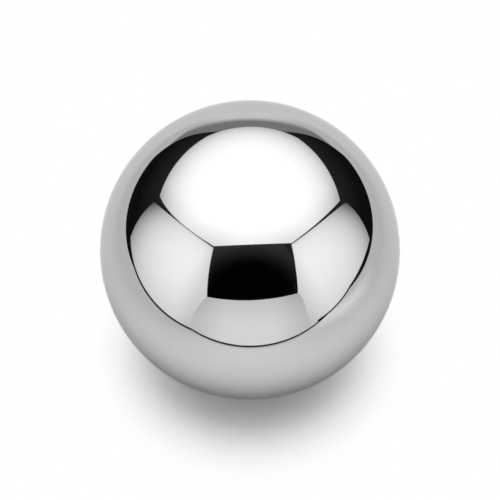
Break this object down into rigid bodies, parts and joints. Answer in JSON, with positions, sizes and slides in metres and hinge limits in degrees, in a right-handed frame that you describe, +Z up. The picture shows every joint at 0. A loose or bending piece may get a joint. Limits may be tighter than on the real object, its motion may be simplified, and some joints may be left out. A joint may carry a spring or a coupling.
{
  "type": "steel ball",
  "caption": "Solid polished steel ball, a plain true sphere with a mirror finish, for bench, bearing or desk use.",
  "frame": {"origin": "centre of the ball", "axes": "+Z up, through the centre, away from the point that the ball is seated on; X and Y are free, as the ball is the same round every axis"},
  "size_m": [0.0254, 0.0254, 0.0254],
  "materials": {
    "polished_steel": "polished"
  },
  "bodies": {
    "root": {"ball": "polished_steel"}
  },
  "joints": []
}
